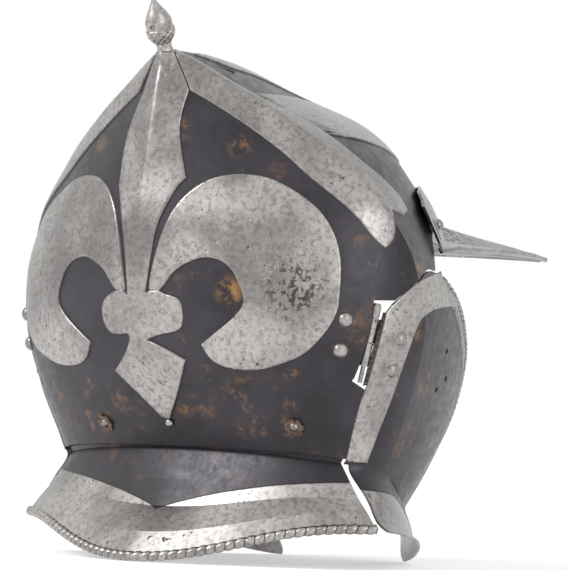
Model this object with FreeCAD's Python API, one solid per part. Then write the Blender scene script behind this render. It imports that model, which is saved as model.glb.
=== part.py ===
import FreeCAD, Part
import math
import os
from functools import lru_cache
from FreeCAD import Vector

# Burgonet with a four-ridged skull drawn up to an acorn finial, a pointed peak that
# pivots at the temples, two hinged cheekpieces and a flared neck guard.
# All sizes are in millimetres. Points are given as side (to the wearer's right),
# forward of the apex and height, and at() turns them into the part's own frame,
# where +Z is up, the brow looks along -Y and the wearer's right is -X.

# Sheet and standing position
SHEET = 1.5              # thickness of skull and cheekpieces
COLLAR_SHEET = 1.3       # thickness of the neck guard
PEAK_SHEET = 1.3         # thickness of the peak
FLANGE_SHEET = 1.2       # thickness of the cheekpieces' neck flanges
STANCE = math.radians(2.0)   # brow raised so that neck corner and flanges touch the ground
FORWARD_MIDDLE = 145.1   # middle of the whole length, forward of the apex
STAND_HEIGHT = 128.5     # ground below the level where heights are zero
FIT_GAP = 0.25           # air between plates that are riveted together
EDGE_GAP = 0.5           # half the slit between the skull and a cheekpiece

# The bowl is described by closed sections in planes that rise to the front by TILT.
# Each row: height, back ridge, half width, place of the side ridge, front ridge,
# sharpness of the back and front quarters (0 oval, 1 straight), fullness of the back.
TILT = math.radians(12.0)
SECTIONS = [
    (105.8, 19.5, 3.5, 22.5, 26.5, 0.60, 0.60, 0.55),
    (101.5, 18.5, 11.0, 24.5, 43.0, 0.85, 0.85, 0.55),
    (90.5, 13.3, 28.0, 28.0, 73.0, 0.85, 0.80, 0.55),
    (75.0, 6.8, 51.5, 32.5, 104.0, 0.75, 0.70, 0.55),
    (52.0, -2.5, 80.0, 38.4, 141.0, 0.52, 0.35, 0.55),
    (26.0, -12.5, 102.5, 43.4, 171.0, 0.30, 0.55, 0.58),
    (0.0, -18.2, 110.5, 49.0, 187.0, 0.08, 0.60, 0.61),
    (-25.0, -19.0, 112.0, 50.0, 189.0, 0.00, 0.38, 0.63),
    (-50.0, -13.5, 107.5, 46.0, 184.0, 0.00, 0.23, 0.66),
    (-75.0, -4.5, 98.5, 41.0, 175.0, 0.00, 0.13, 0.72),
    (-92.0, 3.0, 91.5, 37.0, 165.0, 0.00, 0.08, 0.80),
    (-112.0, 10.0, 82.0, 42.0, 151.0, 0.00, 0.18, 0.76),
    (-135.0, 16.0, 66.0, 44.0, 136.0, 0.00, 0.30, 0.70),
]
SECTION_HEIGHTS = [105.8, 101.5, 97, 90.5, 83, 75, 64, 52, 39, 26, 13, 0, -12,
                   -25, -37, -50, -62, -75, -84, -92, -102, -112, -124, -135]
OVAL = 0.5523            # handle length that turns a cubic arc into a quarter oval
CAVITY_TOP = 101.5       # highest section of the hollow inside

# Edges seen from the side, as (forward, height)
NAPE_EDGE = [(-60, -75.5), (12, -75.5), (31.5, -80.5)]
CHEEK_TOP = [(32, -9.0), (43, -1.9), (53, 3.6), (66, 7.4), (79, 6.9)]
BROW_EDGE = [(84, 11), (90, 19), (104, 26), (130, 31), (160, 35), (200, 38), (260, 38)]
CHEEK_FRONT = [(89, 3.4), (99, -4), (112, -15), (128, -31), (139, -48), (144, -66),
               (144, -85), (139, -104)]
CREASE = [(83, 33, -82), (83, 46, -84), (81.5, 60, -88.5), (78, 71, -94), (73, 83, -99),
          (62, 104, -103), (50, 121, -105), (37, 136, -106)]
FLANGE_EDGE = [(108, 33.5, -111.5), (105.6, 47, -113.5), (100, 62, -116), (91, 79, -118),
               (80, 96, -121), (67, 114, -125), (53, 129, -130), (38, 142, -133.4)]

# Neck guard: collar inside the skull, then a flare down to the roped rim
COLLAR = [(14.0, 0.0), (7.0, 0.0), (1.5, 0.1), (-0.4, 0.2)]         # lift, extra inset
FLARE = [(0.14, 1.4), (0.3, 3.4), (0.55, 5.0), (0.78, 0.0), (1.0, 0.0)]   # share down, hollow
NECK_SECTIONS = 10
RIM_END_SIDE = 105.0
RIM_CORNER = -23.0       # how far forward the rear corner of the rim lies
RIM_LOW, RIM_RISE = -125.4, 14.8
RIM_RISE_SIDE = 95.0     # side distance at which the rim has risen fully
ROPE_RADIUS = 2.0
ROPE_TURNS = (341, 310, 270, 230, 180, 130, 90, 50, 19)   # around the rope, in degrees
BORE = (8.0, 0.84)       # side distance and share of the flare where the small hole sits
BORE_RADIUS = 1.3

# Hinges of the cheekpieces: barrel axis of the right one, as (side, forward, height)
HINGE_TOP = (104.6, 27.4, -8.6)
HINGE_BOTTOM = (96.6, 24.6, -46.0)
BARREL_RADIUS = 2.1
PIN_RADIUS = 1.0
PIN_CLEARANCE = 0.06
KNUCKLES = [("skull", 0.5, 5.6), ("cheek", 6.0, 17.4), ("skull", 17.8, 28.4)]
KNUCKLE_GAP = 0.2
LEAF_OUTLINES = {
    "skull": [(8.0, -9.5), (27.0, -9.5), (25.6, -37.5), (7.0, -36.0)],
    "cheek": [(26.2, -15.0), (46.0, -17.0), (44.5, -45.0), (31.5, -46.0), (29.5, -27.0), (25.6, -27.0)],
}
LEAF_CLEAR = {"skull": [(28.6, 40.0)], "cheek": [(-4.0, 5.8), (28.2, 44.0)]}
PIN_HEAD = 1.0
LEAF_SHEET = 1.1
CUTOUT = [(20.5, -6.5), (36.0, -6.5), (36.0, -47.5), (17.5, -47.5)]
SKULL_RIVETS = [(14.6, -15.4), (14.4, -29.6)]
CHEEK_RIVETS = [(39.0, -24.0), (38.0, -38.5)]

# Small holes over the ear, as (forward, height)
EAR_HOLES = [(86, -30), (92, -43), (82, -48)]
EAR_HOLE_RADIUS = 1.4

# Scalloped washers at the nape
ROSETTE_RADIUS, ROSETTE_SHEET, ROSETTE_LOBES = 4.6, 0.8, 7

# Rivet heads: radius and height of the dome, radius of the shank
HINGE_RIVET = (3.5, 2.4, 1.4)
NAPE_RIVET = (2.1, 1.3, 1.1)
PIVOT_RIVET = (2.9, 1.9, 1.5)
SHANK_GAP = 0.05

# Peak: pivot, brow flange and pointed sheet
PIVOT_FORWARD, PIVOT_HEIGHT = 101.4, 28.0
PIVOT_HOLE_GAP = 0.55
PIVOT_HEAD_GAP = 0.45
PIVOT_WASHER = (3.2, 1.2)
FLANGE_STAND_OFF = (2.7, 0.9)   # air behind the flange at the temples and at the brow
FLANGE_TURN = (0.28, 0.75)      # where the wide air ends and where the narrow air begins
FLANGE_LOW = [(0.2, 13.0), (0.3, 15.0), (0.45, 20.0), (0.7, 29.5), (1.0, 36.0)]
FLANGE_HIGH = [(0.2, 47.0), (0.45, 47.0), (0.7, 47.0), (1.0, 53.0)]
FLANGE_OUTLINE = [(92, 16.5), (99, 16.0), (230, 10), (230, 60), (120, 48), (96, 45.5), (90.5, 44),
                  (88, 40.5), (82.5, 37.5), (83.5, 30), (87, 23)]
PEAK_EDGE = [(92, 100, 17.5), (88, 113, 18.6), (80, 134, 18.4), (68, 166, 18.2),
             (53, 202, 18.2), (36, 239, 18.0), (18, 277, 17.0), (0, 313, 15.3)]
KEEL = [(187, 36.5), (220, 30.7), (242, 26.9), (269, 22.9), (289, 20.0), (313, 15.3)]
PEAK_DIP = 4.5           # hollow between the keel and the rolled edge
PEAK_ROPE_RADIUS = 1.3
PEAK_ROPE_TURNS = (125, 80, 35, -10, -55, -100, -130)   # around the edge bead, in degrees
PEAK_TIP = 1.9           # half width at which the point ends
PEAK_STATIONS = [94, 106, 120, 136, 154, 174, 196, 220, 244, 266, 286, 302, 311]
SLOT_LOW, SLOT_HIGH = (92.5, 22.0), (89.0, 31.5)
SLOT_RADIUS = 0.8

# Finial: an acorn that leans to the back, as (distance along its axis, radius)
FINIAL_FOOT = (0.0, 1.0, 106.6)
FINIAL_LEAN = math.radians(22.0)
FINIAL_PROFILE = [(0, 4.6), (1.2, 4.2), (3.4, 3.5), (5.2, 3.6), (7.6, 5.3), (10.4, 6.7),
                  (12.6, 6.9), (13.2, 6.2), (16.0, 6.3), (19.5, 5.1), (23.2, 2.9),
                  (26.4, 1.1), (28.2, 0.5)]
STEM_RADIUS = 2.4
WASHER_RADIUS, WASHER_SHEET = 6.5, 1.2

# Lilies and bands stand proud of the bowl


def at(side, forward, height):
    """A point of the helmet in the part's own frame."""
    level_forward = forward * math.cos(STANCE) - height * math.sin(STANCE)
    level_height = forward * math.sin(STANCE) + height * math.cos(STANCE)
    return Vector(-side, FORWARD_MIDDLE - level_forward, level_height + STAND_HEIGHT)


def smooth(pairs, x):
    """Value at x of a smooth curve through (x, value) pairs that never overshoots."""
    pairs = sorted(pairs)
    x = min(max(x, pairs[0][0]), pairs[-1][0])
    slopes = [(b[1] - a[1]) / (b[0] - a[0]) for a, b in zip(pairs, pairs[1:])]
    tangents = [slopes[0]]
    for before, after in zip(slopes, slopes[1:]):
        rising = before * after > 0
        tangents.append(2 * before * after / (before + after) if rising else 0.0)
    tangents.append(slopes[-1])
    i = max(k for k in range(len(slopes)) if k == 0 or pairs[k][0] <= x)
    (x0, y0), (x1, y1) = pairs[i], pairs[i + 1]
    w = x1 - x0
    t = (x - x0) / w
    start = y0 * (1 + 2 * t) * (1 - t) ** 2 + w * tangents[i] * t * (1 - t) ** 2
    end = y1 * t * t * (3 - 2 * t) + w * tangents[i + 1] * t * t * (t - 1)
    return start + end


@lru_cache(maxsize=None)
def row_value(column, height):
    return smooth([(row[0], row[column]) for row in SECTIONS], height)


def ridge(column, outward, height, inset):
    """A ridge's distance at a height, after moving it inward square to its own line."""
    if inset == 0:
        return row_value(column, height)
    source = height
    across = 1.0
    for _ in range(8):
        step = 0.2
        slope = (row_value(column, source + step) - row_value(column, source - step))
        slope /= 2 * step
        across = 1 / math.hypot(1, slope)
        rise = -outward * slope * across
        source = height + inset * rise
    return row_value(column, source) - outward * inset * across


def section(height, inset=0.0):
    """Back, half width, side place, front, sharpness twice and fullness at a height."""
    back = ridge(1, -1, height, inset)
    half_width = ridge(2, 1, height, inset)
    front = ridge(4, 1, height, inset)
    rest = [row_value(column, height) for column in (3, 5, 6, 7)]
    return back, half_width, rest[0], front, rest[1], rest[2], rest[3]


@lru_cache(maxsize=None)
def quarter_handles(height, part, inset=0.0):
    """Four control points of one quarter, as (side, along), from side ridge to end."""
    back, width, side_place, front, back_sharp, front_sharp, full = section(height, inset)
    end, sharp, handle = back, back_sharp, full
    if part == "front":
        end, sharp, handle = front, front_sharp, OVAL
    reach = end - side_place
    oval = [(width, side_place + handle * reach), (handle * width, end)]
    straight = [(width * 2 / 3, side_place + reach / 3), (width / 3, end - reach / 3)]
    middle = [tuple(o + (s - o) * sharp for o, s in zip(*pair)) for pair in zip(oval, straight)]
    return [(width, side_place)] + middle + [(0.0, end)]


def untilted(side, along, height):
    forward = along * math.cos(TILT) - height * math.sin(TILT)
    up = along * math.sin(TILT) + height * math.cos(TILT)
    return side, forward, up


def on_bowl(turn, height, inset=0.0):
    """Point (side, forward, height) of the bowl; turn is -1 at the back, 1 in front."""
    part = "front" if turn > 0 else "back"
    u = abs(turn)
    weights = ((1 - u) ** 3, 3 * u * (1 - u) ** 2, 3 * u * u * (1 - u), u ** 3)
    handles = quarter_handles(height, part, inset)
    side = sum(w * p[0] for w, p in zip(weights, handles))
    along = sum(w * p[1] for w, p in zip(weights, handles))
    return untilted(side, along, height)


@lru_cache(maxsize=None)
def find(level, forward=None, side=None, part="front"):
    """Turn and section height of the bowl's point at a level and a forward or side place."""
    height = level / math.cos(TILT)
    turn = 0.0
    for _ in range(12):
        low, high = (-1.0, 1.0) if side is None else ((-1.0, 0.0) if part == "back" else (0.0, 1.0))
        for _ in range(24):
            turn = (low + high) / 2
            point = on_bowl(turn, height)
            if side is None:
                ahead = point[1] > forward
            else:
                ahead = (point[0] < side) == (part == "front")
            low, high = (low, turn) if ahead else (turn, high)
        height += (level - on_bowl(turn, height)[2]) / math.cos(TILT)
    return turn, height


def normal_at(turn, height):
    """Outward unit normal of the bowl, as (side, forward, height)."""
    step = 0.01
    a0 = on_bowl(turn - step, height) if abs(turn - step) <= 1 else on_bowl(turn, height)
    a1 = on_bowl(turn + step, height) if abs(turn + step) <= 1 else on_bowl(turn, height)
    b0, b1 = on_bowl(turn, height - 1), on_bowl(turn, height + 1)
    along = Vector(*[q - p for p, q in zip(a0, a1)])
    up = Vector(*[q - p for p, q in zip(b0, b1)])
    normal = along.cross(up)
    normal.normalize()
    if normal.x < 0:
        normal = normal * -1
    return normal


def off_bowl(turn, height, distance):
    """A point at a distance outside the bowl, square to it."""
    point = Vector(*on_bowl(turn, height)) + normal_at(turn, height) * distance
    return point.x, point.y, point.z


def bowl_solid(inset, top, bottom):
    """The bowl as a solid, its ridges moved inward by inset."""
    wires = []
    for height in SECTION_HEIGHTS:
        if not bottom <= height <= top:
            continue
        edges = []
        quarters = [("back", 1), ("back", -1), ("front", -1), ("front", 1)]
        for part, hand in quarters:
            poles = [at(*untilted(hand * side, along, height))
                     for side, along in quarter_handles(height, part, inset)]
            if (part == "back") != (hand == 1):
                poles.reverse()
            curve = Part.BezierCurve()
            curve.setPoles(poles)
            edges.append(curve.toShape())
        wires.append(Part.Wire(edges))
    return Part.makeLoft(wires, True, False)


def curve_points(points, count):
    """Evenly spread points of a smooth curve through points of any dimension."""
    spline = Part.BSplineCurve()
    spline.interpolate([Vector(*(tuple(p) + (0,) * (3 - len(p)))) for p in points])
    found = spline.discretize(Number=count)
    return [(p.x, p.y, p.z)[:len(points[0])] for p in found]


def side_prism(outline, start, end):
    """A prism across the helmet whose outline is given as (forward, height)."""
    corners = [at(start, forward, height) for forward, height in outline]
    face = Part.Face(Part.makePolygon(corners + corners[:1]))
    return face.extrude(at(end, 0, 0) - at(start, 0, 0))


def grid_surface(rows):
    surface = Part.BSplineSurface()
    surface.interpolate([[at(*point) for point in row] for row in rows])
    return surface


def inner_rows(rows, thickness):
    """The rows of a grid moved by a thickness to the side that its normals leave."""
    grid = [[Vector(*point) for point in row] for row in rows]
    last_row, last_column = len(grid) - 1, len(grid[0]) - 1
    moved = []
    for i, row in enumerate(grid):
        line = []
        for j, point in enumerate(row):
            down = grid[min(i + 1, last_row)][j] - grid[max(i - 1, 0)][j]
            across = row[min(j + 1, last_column)] - row[max(j - 1, 0)]
            normal = across.cross(down)
            normal.normalize()
            shifted = point + normal * thickness
            line.append((shifted.x, shifted.y, shifted.z))
        moved.append(line)
    return moved


def plate(rows, thickness):
    """A closed solid between a grid of points and the same grid moved inward."""
    outer = grid_surface(rows).toShape()
    inner = grid_surface(inner_rows(rows, thickness)).toShape()
    sides = []
    for edge in outer.Edges:
        middle = edge.CenterOfMass
        partner = min(inner.Edges, key=lambda other: other.CenterOfMass.distanceToPoint(middle))
        sides.append(Part.makeRuledSurface(edge, partner))
    shell = Part.Shell([outer, inner] + sides)
    shell.sewShape()
    solid = Part.Solid(shell)
    if solid.Volume < 0:
        solid.reverse()
    return solid


def mirrored(shape):
    return shape.mirror(Vector(0, 0, 0), Vector(1, 0, 0))


def bowl_frame(turn, height, hand=1):
    """Foot point on the bowl and outward direction in the part's frame."""
    side, forward, up = on_bowl(turn, height)
    out = normal_at(turn, height)
    foot = at(hand * side, forward, up)
    tip = at(hand * (side + out.x), forward + out.y, up + out.z)
    return foot, tip - foot


def dome_rivet(foot, out, sizes, above, below, tail=0.7):
    """A rivet with its dome above the foot point and its peened tail below."""
    head, rise, shank = sizes
    ball = (head * head + rise * rise) / (2 * rise)
    seat = foot + out * above
    dome = Part.makeSphere(ball, seat + out * (rise - ball))
    keep = Part.makeCylinder(head + 1, rise + 1, seat, out)
    body = dome.common(keep)
    body = body.fuse(Part.makeCylinder(shank, above + below + tail, foot - out * (below + tail), out))
    body = body.fuse(Part.makeCylinder(shank * 1.6, tail, foot - out * (below + tail), out))
    return body.removeSplitter()


def drill(shape, foot, out, radius, reach=8.0):
    return shape.cut(Part.makeCylinder(radius, 2 * reach, foot - out * reach, out))


def edge_outline(points, shift):
    """An outline moved across by shift, square to its own line."""
    moved = []
    last = len(points) - 1
    for i, point in enumerate(points):
        a, b = points[max(i - 1, 0)], points[min(i + 1, last)]
        dx, dy = b[0] - a[0], b[1] - a[1]
        length = math.hypot(dx, dy)
        moved.append((point[0] - dy / length * shift, point[1] + dx / length * shift))
    return moved


def skull_outline():
    cheek_top = curve_points(edge_outline(CHEEK_TOP, EDGE_GAP), 9)
    brow = curve_points(BROW_EDGE[:3], 6)[1:] + BROW_EDGE[3:]
    rear = [(31.5 - EDGE_GAP, -79.5)]
    return NAPE_EDGE[:2] + rear + [(32 - EDGE_GAP, -9.0)] + cheek_top[1:] + brow + [(260, 170), (-60, 170)]


def cheek_outline():
    top = curve_points(edge_outline(CHEEK_TOP, -EDGE_GAP), 9)
    front = curve_points(CHEEK_FRONT, 16)
    crease = [(forward, height) for _, forward, height in reversed(CREASE)]
    return [(32 + EDGE_GAP, -9.6)] + top[1:] + front + crease[1:-1] + [(32 + EDGE_GAP, -82.0)]


def hinge_axis():
    top, bottom = at(*HINGE_TOP), at(*HINGE_BOTTOM)
    down = bottom - top
    length = down.Length
    down.normalize()
    return top, down, length


def skull_rivet_places(hand=1):
    return [bowl_frame(*find(height, forward=forward), hand) for forward, height in SKULL_RIVETS]


def cheek_rivet_places():
    return [bowl_frame(*find(height, forward=forward)) for forward, height in CHEEK_RIVETS]


def pivot_place(hand=1):
    return bowl_frame(*find(PIVOT_HEIGHT, forward=PIVOT_FORWARD), hand)


def nape_places():
    """Feet and directions of the nape rivet and the two rosette rivets."""
    places = []
    for side, level in [(2.0, -64.6), (68.0, -64.8), (-40.0, -66.0)]:
        turn, height = find(level, side=abs(side), part="back")
        places.append(bowl_frame(turn, height, 1 if side > 0 else -1))
    return places


def make_skull(outer, inner):
    shell = outer.common(side_prism(skull_outline(), -150, 150)).cut(inner)
    for start, end in ((60, 150), (-150, -60)):
        shell = shell.cut(side_prism(CUTOUT, start, end))
    for hand in (1, -1):
        for foot, out in skull_rivet_places(hand):
            shell = drill(shell, foot, out, HINGE_RIVET[2] + SHANK_GAP)
        foot, out = pivot_place(hand)
        shell = drill(shell, foot, out, PIVOT_RIVET[2] + SHANK_GAP)
    for foot, out in nape_places():
        shell = drill(shell, foot, out, NAPE_RIVET[2] + SHANK_GAP)
    foot, axis = finial_axis()
    return drill(shell, foot, axis, STEM_RADIUS + SHANK_GAP)


def finial_axis():
    foot = at(*FINIAL_FOOT)
    up = at(0, FINIAL_FOOT[1] - math.sin(FINIAL_LEAN), FINIAL_FOOT[2] + math.cos(FINIAL_LEAN))
    return foot, up - foot


def turned(profile, foot, axis):
    """A solid of revolution from (distance along axis, radius) pairs."""
    flat = Part.BSplineCurve()
    flat.interpolate([Vector(radius, 0, along) for along, radius in profile])
    last_along, first_along = profile[-1][0], profile[0][0]
    edges = [
        flat.toShape(),
        Part.makeLine(Vector(profile[-1][1], 0, last_along), Vector(0, 0, last_along)),
        Part.makeLine(Vector(0, 0, last_along), Vector(0, 0, first_along)),
        Part.makeLine(Vector(0, 0, first_along), Vector(profile[0][1], 0, first_along)),
    ]
    solid = Part.Face(Part.Wire(edges)).revolve(Vector(0, 0, 0), Vector(0, 0, 1), 360)
    turn = FreeCAD.Rotation(Vector(0, 0, 1), axis)
    solid.Placement = FreeCAD.Placement(foot, turn)
    return solid


def make_finial(outer):
    foot, axis = finial_axis()
    acorn = turned(FINIAL_PROFILE, foot, axis).cut(outer)
    stem = Part.makeCylinder(STEM_RADIUS, 12.0, foot - axis * 6.0, axis)
    return acorn.fuse(stem).removeSplitter()


def make_finial_washer(inner):
    foot, axis = finial_axis()
    seat = foot - axis * 4.6
    disc = Part.makeCylinder(WASHER_RADIUS, WASHER_SHEET, seat, axis)
    hole = Part.makeCylinder(STEM_RADIUS + SHANK_GAP, 10, seat - axis * 4, axis)
    return disc.common(inner).cut(hole)


def rim_point(side):
    share = min(side / RIM_RISE_SIDE, 1.0) ** 1.15
    forward = RIM_CORNER + 0.14 * side + 0.0033 * side * side
    return side, forward, RIM_LOW + RIM_RISE * math.sin(math.pi / 2 * share) ** 2


def junction_point(share, lift, inset):
    """A point of the collar, share 0 at the nape and 1 at its end, above the junction."""
    level = -76.2 - 5.2 * share ** 2 + lift
    end_turn, end_height = find(level, forward=30.6)
    end_side = on_bowl(end_turn, end_height)[0]
    turn, height = find(level, side=share * end_side, part="back")
    return on_bowl(turn, height, inset)


def neck_column(share):
    """Points down the neck guard's outer face in one upright plane, from collar to rim."""
    seat = SHEET + FIT_GAP
    collar = [junction_point(share, lift, seat + extra) for lift, extra in COLLAR]
    top = (0.0,) + collar[-1][1:] if share == 0 else collar[-1]
    rim = rim_point(share * RIM_END_SIDE)
    reach = math.hypot(rim[0] - top[0], rim[1] - top[1])
    out = ((rim[0] - top[0]) / reach, (rim[1] - top[1]) / reach)
    points = []
    for side, forward, level in collar:
        away = (side - top[0]) * out[0] + (forward - top[1]) * out[1]
        points.append((top[0] + out[0] * away, top[1] + out[1] * away, level))
    for step, hollow in FLARE:
        depth = reach * step - hollow * (1 - 0.8 * share)
        level = top[2] + (rim[2] - top[2]) * step
        points.append((top[0] + out[0] * depth, top[1] + out[1] * depth, level))
    return points, out


def neck_section(share, hand):
    """Closed outline of the neck guard in one upright plane, with its rolled rope."""
    points, out = neck_column(share)
    flat = [(point[0] * out[0] + point[1] * out[1], point[2]) for point in points]
    inner = edge_outline(flat, -COLLAR_SHEET)
    middle = [(a + c) / 2 for a, c in zip(flat[-1], inner[-1])]
    back = [a - b for a, b in zip(flat[-2], flat[-1])]
    start = math.atan2(back[1], back[0])
    ring = []
    for turn in ROPE_TURNS:
        angle = start + math.radians(turn)
        ring.append((middle[0] + ROPE_RADIUS * math.cos(angle), middle[1] + ROPE_RADIUS * math.sin(angle)))
    outline = flat[:-1] + ring + inner[-2::-1]
    origin = points[0]
    base = flat[0][0]
    corners = []
    for away, level in outline:
        side = origin[0] + out[0] * (away - base)
        forward = origin[1] + out[1] * (away - base)
        corners.append(at(hand * side, forward, level))
    return Part.makePolygon(corners + corners[:1])


def both_sides(points):
    """Points listed from the middle out, completed by their mirror images."""
    left = [(-side, forward, height) for side, forward, height in reversed(points[1:])]
    return left + list(points)


def make_neck_guard():
    right = [neck_section(k / NECK_SECTIONS, 1) for k in range(NECK_SECTIONS + 1)]
    left = [neck_section(k / NECK_SECTIONS, -1) for k in range(NECK_SECTIONS, 0, -1)]
    guard = Part.makeLoft(left + right, True, False)
    for foot, out in nape_places():
        guard = drill(guard, foot, out, NAPE_RIVET[2] + SHANK_GAP)
    foot, out = bore_place()
    return drill(guard, foot, out, BORE_RADIUS)


def bore_place():
    """The small hole through the neck guard beside its rear corner."""
    side, step = BORE
    column, _ = neck_column(side / RIM_END_SIDE)
    high, low = at(*column[-2]), at(*column[-1])
    nearby = at(*neck_column(side / RIM_END_SIDE + 0.05)[0][-2])
    foot = high + (low - high) * ((step - FLARE[-2][0]) / (1 - FLARE[-2][0]))
    out = (low - high).cross(nearby - high)
    out.normalize()
    if out.y < 0:
        out = out * -1
    return foot, out


def flange_grid():
    top = curve_points(CREASE, 13)
    edge = curve_points(FLANGE_EDGE, 13)
    rows = []
    for lift in (-0.03, 0.0):
        row = []
        for crease, low in zip(top, edge):
            turn, height = find(crease[2] + 26 * -lift, forward=crease[1])
            row.append(off_bowl(turn, height, -0.15))
        rows.append(row)
    start = rows[-1]
    for step in (0.3, 0.65, 1.0):
        hollow = 4 * step * (1 - step) * 1.6
        row = []
        for crease, low in zip(start, edge):
            point = [a + (b - a) * step for a, b in zip(crease, low)]
            reach = max(math.hypot(low[0] - crease[0], low[1] - crease[1]), 1e-6)
            out = ((low[0] - crease[0]) / reach, (low[1] - crease[1]) / reach)
            row.append((point[0] - out[0] * hollow, point[1] - out[1] * hollow, point[2]))
        rows.append(row)
    return rows


def make_cheekpiece(outer, inner):
    body = outer.common(side_prism(cheek_outline(), 5, 150)).cut(inner)
    body = body.cut(side_prism(CUTOUT[:1] + [(34.6, -6.5), (34.0, -47.5)] + CUTOUT[3:], 60, 150))
    for foot, out in cheek_rivet_places():
        body = drill(body, foot, out, HINGE_RIVET[2] + SHANK_GAP)
    for forward, height in EAR_HOLES:
        foot, out = bowl_frame(*find(height, forward=forward))
        body = drill(body, foot, out, EAR_HOLE_RADIUS)
    return body.fuse(plate(flange_grid(), FLANGE_SHEET))


def shell_between(outer_inset, inner_inset):
    """The layer of the bowl between two insets."""
    top = SECTION_HEIGHTS[2]
    return bowl_solid(outer_inset, top, -200).cut(bowl_solid(inner_inset, top, -200))


def make_leaf(owner, places, layer):
    """One leaf of the right hinge with its knuckles, bored for pin and rivets."""
    top, down, length = hinge_axis()
    body = layer.common(side_prism(LEAF_OUTLINES[owner], 60, 150))
    for side, start, end in KNUCKLES:
        if side == owner:
            body = body.fuse(Part.makeCylinder(BARREL_RADIUS, end - start, top + down * start, down))
        else:
            room = end - start + 2 * KNUCKLE_GAP
            low = top + down * (start - KNUCKLE_GAP)
            body = body.cut(Part.makeCylinder(BARREL_RADIUS + 0.5, room, low, down))
    for start, end in LEAF_CLEAR[owner]:
        body = body.cut(Part.makeCylinder(BARREL_RADIUS + 0.5, end - start, top + down * start, down))
    bore = Part.makeCylinder(PIN_RADIUS + PIN_CLEARANCE, length + 10, top - down * 5, down)
    body = body.cut(bore)
    for foot, out in places:
        body = drill(body, foot, out, HINGE_RIVET[2] + SHANK_GAP)
    return body.removeSplitter()


def make_pin():
    top, down, length = hinge_axis()
    pin = Part.makeCylinder(PIN_RADIUS, length - 2, top, down)
    head = Part.makeCylinder(PIN_RADIUS + 0.6, PIN_HEAD, top - down * (PIN_HEAD - 0.4), down)
    return pin.fuse(head).removeSplitter()


def make_rivets(places, sizes, above, below):
    """A group of rivets that share one node."""
    return Part.makeCompound([dome_rivet(foot, out, sizes, above, below) for foot, out in places])


def make_rosettes():
    """Scalloped iron washers under the heads of the two outer nape rivets."""
    washers = []
    for foot, out in nape_places()[1:]:
        disc = Part.makeCylinder(ROSETTE_RADIUS, ROSETTE_SHEET, foot + out * FIT_GAP, out)
        side = out.cross(Vector(0, 0, 1))
        side.normalize()
        for k in range(ROSETTE_LOBES):
            turn = FreeCAD.Rotation(out, k * 360 / ROSETTE_LOBES)
            place = foot + turn.multVec(side) * (ROSETTE_RADIUS + 0.5)
            disc = disc.cut(Part.makeCylinder(1.1, 4, place - out * 2, out))
        hole = Part.makeCylinder(NAPE_RIVET[2] + SHANK_GAP, 8, foot - out * 4, out)
        washers.append(disc.cut(hole))
    return Part.makeCompound(washers)


def stand_off(turn):
    """Air behind the peak's flange: wide at the temples, narrow at the brow."""
    temple, brow = FLANGE_STAND_OFF
    share = min(max((turn - FLANGE_TURN[0]) / (FLANGE_TURN[1] - FLANGE_TURN[0]), 0), 1)
    return temple + (brow - temple) * math.sin(math.pi / 2 * share)


def band_point(turn, level):
    """A point of the flange's outer face at a level."""
    height = level / math.cos(TILT)
    for _ in range(8):
        height += (level - on_bowl(turn, height)[2]) / math.cos(TILT)
    return off_bowl(turn, height, stand_off(turn) + PEAK_SHEET)


def make_flange():
    """The band of the peak that hugs the brow, trimmed to its pointed ends."""
    columns = []
    steps = 14
    for k in range(steps + 1):
        turn = 1 - (1 - FLANGE_TURN[0] + 0.05) * k / steps
        low = smooth(FLANGE_LOW, turn)
        high = smooth(FLANGE_HIGH, turn)
        for _ in range(4):
            side, forward, _ = band_point(turn, low)
            low = min(low, peak_height(side, forward) - PEAK_SHEET * 0.6)
        column = []
        for share in (0, 0.25, 0.5, 0.75, 1):
            point = band_point(turn, low + (high - low) * share)
            column.append((0.0,) + point[1:] if k == 0 else point)
        columns.append(column)
    rows = [both_sides([column[i] for column in columns]) for i in range(5)]
    return plate(rows, PEAK_SHEET).common(side_prism(FLANGE_OUTLINE, -150, 150))


def half_width(forward):
    return smooth([(f, side) for side, f, _ in PEAK_EDGE], forward)


def peak_height(side, forward):
    """Height of the peak's top face: a keel, a hollow and a raised edge."""
    width = max(half_width(forward), 2.0)
    share = min(abs(side) / width, 1.15)
    keel = smooth(KEEL, forward)
    edge = smooth([(f, height) for _, f, height in PEAK_EDGE], forward)
    fall = (edge - keel) * share
    fade = min(width / 40, 1.0) * min(max((forward - 100) / 60, 0.0), 1.0)
    hollow = PEAK_DIP * fade * math.sin(math.pi * min(share, 1.0)) ** 2
    return keel + fall - hollow


def visor_section(forward):
    """Closed outline of the peak across the helmet, with a round bead along each edge."""
    width = max(half_width(forward), PEAK_TIP)
    inner = width - 1.2 * PEAK_ROPE_RADIUS
    top = [(inner * k / 6, peak_height(inner * k / 6, forward)) for k in range(7)]
    centre = peak_height(width, forward) - PEAK_SHEET / 2
    ring = []
    for turn in PEAK_ROPE_TURNS:
        angle = math.radians(turn)
        ring.append((width + PEAK_ROPE_RADIUS * math.cos(angle), centre + PEAK_ROPE_RADIUS * math.sin(angle)))
    bottom = [(side, height - PEAK_SHEET) for side, height in reversed(top)]
    right = top + ring + bottom
    outline = right + [(-side, height) for side, height in right[-2:0:-1]]
    corners = [at(side, forward, height) for side, height in outline]
    return Part.makePolygon(corners + corners[:1])


def make_visor(clear_bowl):
    """The pointed sheet of the peak, open where the brow goes in."""
    sheet = Part.makeLoft([visor_section(forward) for forward in PEAK_STATIONS], True, False)
    return sheet.cut(clear_bowl)


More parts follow.
